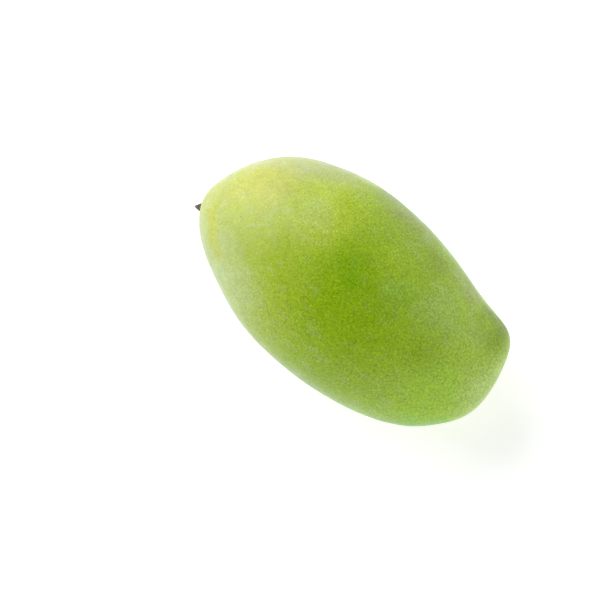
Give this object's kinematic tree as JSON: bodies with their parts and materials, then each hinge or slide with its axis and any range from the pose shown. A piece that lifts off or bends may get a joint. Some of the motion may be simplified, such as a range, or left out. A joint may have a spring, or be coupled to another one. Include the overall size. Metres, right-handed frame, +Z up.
{
  "type": "mango",
  "caption": "Whole green mango lying on one cheek, long and slightly flattened, with a low beak near the tip and a broken stalk stump at the other end.",
  "frame": {"origin": "under the middle of the whole, on the surface that the fruit lies on", "axes": "+X from the stalk end to the tip, +Y to the beak side, +Z up through the upper cheek"},
  "size_m": [0.1506, 0.0876, 0.0753],
  "materials": {
    "skin": "waxy satin skin, yellow-green at the stalk end and fuller green on the cheek, with fine pale dots",
    "stalk": "dry, dull, ribbed and splintered"
  },
  "bodies": {
    "root": {"mango_fruit": "skin", "stalk_stump": "stalk"}
  },
  "joints": []
}
